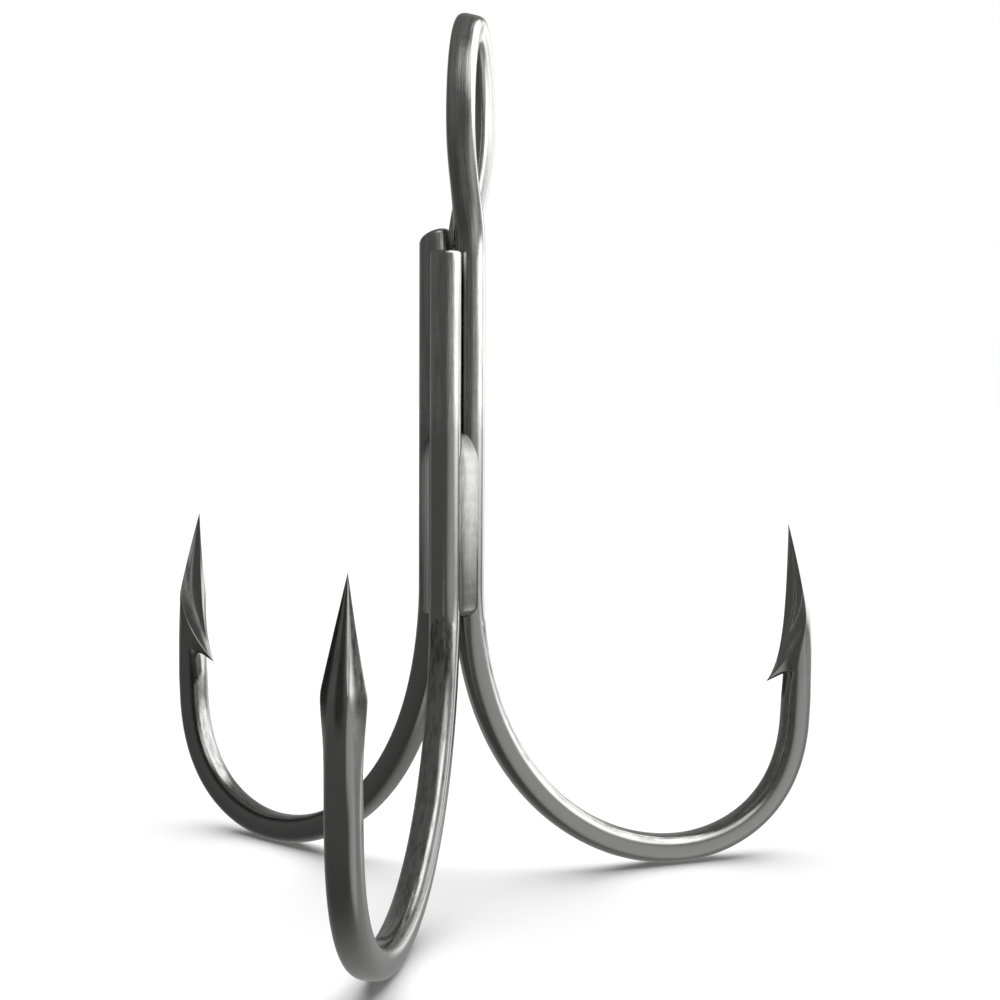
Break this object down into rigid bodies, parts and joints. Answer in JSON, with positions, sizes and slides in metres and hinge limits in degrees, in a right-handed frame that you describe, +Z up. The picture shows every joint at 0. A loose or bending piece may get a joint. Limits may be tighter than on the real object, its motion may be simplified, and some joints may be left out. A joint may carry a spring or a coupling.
{
  "type": "treble hook",
  "caption": "Large brazed treble hook with a long narrow eye, forged bends, ground spear points and inward barbs.",
  "frame": {"origin": "on the floor, under the middle of the whole hook's box, with the hook standing on its bends", "axes": "+Z up along the shanks to the eye; -Y towards the point of the front hook; +X to the eyed hook's side"},
  "size_m": [0.0698, 0.0608, 0.084],
  "materials": {
    "hook_steel": "black nickel over drawn and forged high-carbon steel: dark, glossy on the wire, satin on the flats",
    "braze_filler": "smooth filler metal under the same black nickel, a little lighter than the wire"
  },
  "bodies": {
    "root": {"eyed_hook": "hook_steel", "front_hook": "hook_steel", "left_hook": "hook_steel", "braze_front_right": "braze_filler", "braze_front_left": "braze_filler", "braze_rear": "braze_filler", "braze_tail_right": "braze_filler", "braze_tail_left": "braze_filler"}
  },
  "joints": []
}
